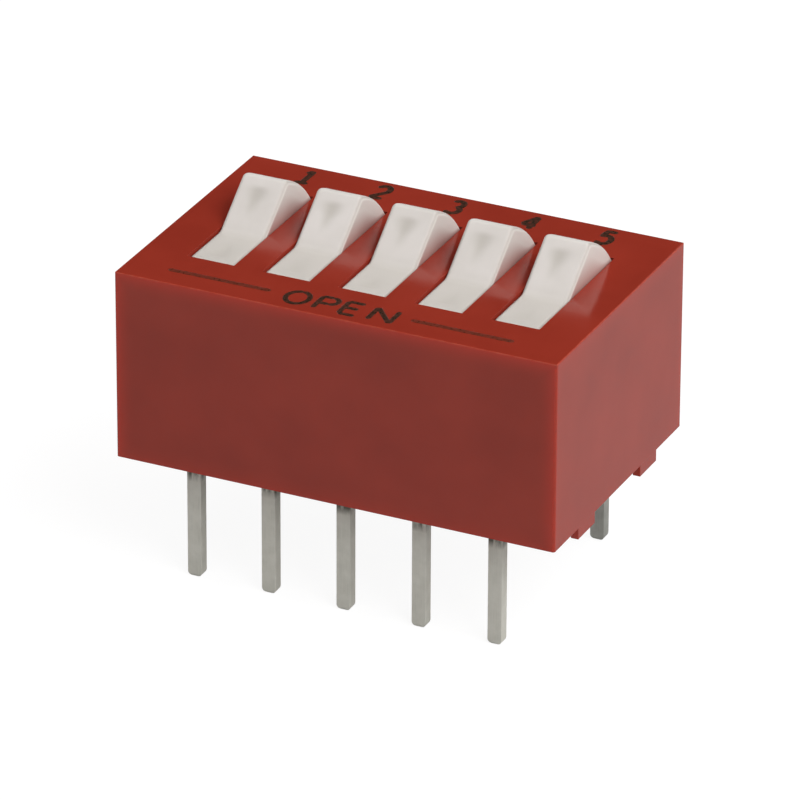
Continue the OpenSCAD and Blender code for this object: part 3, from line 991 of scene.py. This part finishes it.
LETTERS = {
    "O": [bowl((0.5, 0.5), (0.5, 0.5), 90, 450)],
    "P": [
        straight((0.0, 0.0), (0.0, 1.0)),
        straight((0.0, 1.0), (0.6, 1.0)),
        bowl((0.6, 0.74), (0.4, 0.26), 90, -90),
        straight((0.6, 0.48), (0.0, 0.48)),
    ],
    "E": [
        straight((0.0, 0.0), (0.0, 1.0)),
        straight((0.0, 1.0), (1.0, 1.0)),
        straight((0.0, 0.52), (0.9, 0.52)),
        straight((0.0, 0.0), (1.0, 0.0)),
    ],
    "N": [
        straight((0.0, 0.0), (0.0, 1.0)),
        straight((0.0, 1.0), (1.0, 0.0)),
        straight((1.0, 0.0), (1.0, 1.0)),
    ],
}
# Left and right ends of the letters and rules, and where each row of marks starts and ends along y
LETTER_PLACES = {"O": (-1.93, -1.2), "P": (-0.88, -0.3), "E": (-0.02, 0.5), "N": (0.94, 1.65)}
LETTER_LOW, LETTER_HIGH = -4.33, -3.49
NUMERAL_WIDTH, NUMERAL_LOW, NUMERAL_HIGH = 0.47, 3.52, 4.42
RULE_PLACES = {"left": (-5.95, -2.5), "right": (2.18, 5.55)}
RULE_Y = -3.84


def placed(strokes, left, right, low, high, width):
    """Strokes drawn in a unit square, stretched to the box that their centre lines fill."""
    size, corner = np.array([right - left, high - low]), np.array([left, low])
    films = [INK_THICKNESS * (1 + THICKER * k) for k in range(len(strokes))]
    return [stroke(path * size + corner, width, film) for path, film in zip(strokes, films)]


for i in POSITIONS:
    left, right = pivots[i].x - NUMERAL_WIDTH / 2, pivots[i].x + NUMERAL_WIDTH / 2
    parts = placed(NUMERALS[i], left, right, NUMERAL_LOW, NUMERAL_HIGH, NUMERAL_STROKE)
    piece(f"numeral_{i}", joined("numeral", parts), "case", INK)
for letter, (left, right) in LETTER_PLACES.items():
    parts = placed(LETTERS[letter], left, right, LETTER_LOW, LETTER_HIGH, LETTER_STROKE)
    piece(f"letter_{letter}", joined("letter", parts), "case", INK)
for name, (left, right) in RULE_PLACES.items():
    rule = mesh_from("rule", *stroke(straight((left, RULE_Y), (right, RULE_Y)), RULE_STROKE))
    piece(f"rule_{name}", rule, "case", FAINT_INK)


# ---------- Stage, light and camera ----------

# Floor and world: how bright they look straight on and in a mirror, and how much of that hides the shading
FLOOR_HALF = 2.0
FLOOR_SEEN, FLOOR_MIRRORED = 1.22, 0.5
SEEN_SHARE, MIRRORED_SHARE = 0.75, 0.3
FLOOR_GREY = 0.6
AMBIENT = 0.2
CEILING = 0.03
HORIZON = (0.02, 0.25)

# Lamps, sized in metres. Each name has its azimuth and elevation in degrees, and its energy in watts.
LAMP_DISTANCE, LAMP_SIZE = 0.5, 0.35
LAMPS = {
    "overhead": (0, 80, 0.27),
    "right_front": (65, 45, 1.84),
    "right_rear": (125, 42, 0.6),
    "right_low": (95, 10, 0.15),
    "left_low": (-96, 9, 1.4),
}

VIEW_AZIMUTH, VIEW_ELEVATION, VIEW_ROLL = degrees(25.28, 26.46, 0.246)
VIEW_DISTANCE = 229.33
AIM_HEIGHT, AIM_UP = 7.02, -1.453
SENSOR, LENS = 36.0, 337.6
NEAREST_SEEN = 0.01


def either(tree, first, second):
    """1 where either of two 0-or-1 outputs is 1."""
    return maths(tree, "MAXIMUM", first, second)


def pale_floor():
    """A pale matt floor, brightened to white for camera, glossy and transmission rays.

    It keeps part of its own shading for them, so the shadow stays.
    """
    material = bpy.data.materials.new("floor_paper")
    material.use_nodes = True
    tree = material.node_tree
    tree.nodes.clear()
    path = add(tree, "ShaderNodeLightPath").outputs
    direct = path["Is Camera Ray"]
    seen = either(tree, either(tree, direct, path["Is Glossy Ray"]), path["Is Transmission Ray"])
    share = maths(tree, "MULTIPLY", seen, spread(tree, direct, 0, 1, MIRRORED_SHARE, SEEN_SHARE))
    matt = add(tree, "ShaderNodeBsdfDiffuse", Color=(FLOOR_GREY, FLOOR_GREY, FLOOR_GREY, 1))
    strength = spread(tree, direct, 0, 1, FLOOR_MIRRORED, FLOOR_SEEN)
    white = add(tree, "ShaderNodeEmission", Strength=strength)
    mix = add(tree, "ShaderNodeMixShader", Fac=share)
    connect(tree, matt.outputs[0], mix.inputs[1])
    connect(tree, white.outputs[0], mix.inputs[2])
    add(tree, "ShaderNodeOutputMaterial", Surface=mix.outputs[0])
    return material


def studio_world():
    """White all round to the camera, and an even dim light for the rest.

    Glossy and transmission rays see white near the horizon and below, and a dark ceiling.
    """
    world = bpy.data.worlds.new("studio")
    bpy.context.scene.world = world
    world.use_nodes = True
    tree = world.node_tree
    tree.nodes.clear()
    path = add(tree, "ShaderNodeLightPath").outputs
    height = parts_of(tree, add(tree, "ShaderNodeTexCoord").outputs["Generated"])["Z"]
    low_sky = spread(tree, height, *HORIZON, 1.0, CEILING)
    mirrored = either(tree, path["Is Glossy Ray"], path["Is Transmission Ray"])
    level = blend_numbers(tree, mirrored, AMBIENT, low_sky)
    shown = blend_numbers(tree, path["Is Camera Ray"], level, 1.0)
    light = add(tree, "ShaderNodeBackground", Strength=shown)
    add(tree, "ShaderNodeOutputWorld", Surface=light.outputs[0])


def towards(azimuth, elevation):
    """The direction from the switch towards an azimuth, 0 being the OPEN side, and an elevation."""
    level = math.cos(elevation)
    return Vector((math.sin(azimuth) * level, -math.cos(azimuth) * level, math.sin(elevation)))


def softbox(name, azimuth, elevation, energy):
    """A square lamp that faces the switch."""
    away = towards(*degrees(azimuth, elevation))
    lamp = bpy.data.lights.new(name, "AREA")
    lamp.size = LAMP_SIZE
    lamp.energy = energy
    o = bpy.data.objects.new(name, lamp)
    bpy.context.scene.collection.objects.link(o)
    o.location = away * LAMP_DISTANCE
    o.rotation_euler = away.to_track_quat("Z", "Y").to_euler()


corners = np.array([[-1, -1, 0], [1, -1, 0], [1, 1, 0], [-1, 1, 0]]) * FLOOR_HALF
floor_mesh = mesh_from("floor", corners, np.array([[0, 1, 2, 3]]))
floor_mesh.materials.append(pale_floor())
floor = bpy.data.objects.new("floor", floor_mesh)
bpy.context.scene.collection.objects.link(floor)

studio_world()
for name, (azimuth, elevation, energy) in LAMPS.items():
    softbox(name, azimuth, elevation, energy)

back = towards(VIEW_AZIMUTH, VIEW_ELEVATION)
level = Vector((math.cos(VIEW_AZIMUTH), math.sin(VIEW_AZIMUTH), 0))
upright = back.cross(level)
aim = Vector((0, 0, AIM_HEIGHT)) + upright * AIM_UP
across_view = level * math.cos(VIEW_ROLL) + upright * math.sin(VIEW_ROLL)
up_view = upright * math.cos(VIEW_ROLL) - level * math.sin(VIEW_ROLL)
camera = bpy.data.objects.new("camera", bpy.data.cameras.new("camera"))
camera.data.sensor_width = SENSOR
camera.data.lens = LENS
camera.data.clip_start = NEAREST_SEEN
turned = Matrix((across_view, up_view, back)).transposed().to_4x4()
camera.matrix_world = Matrix.Translation((aim + back * VIEW_DISTANCE) * MM) @ turned
bpy.context.scene.collection.objects.link(camera)
bpy.context.scene.camera = camera
bpy.context.scene.view_settings.view_transform = "Standard"
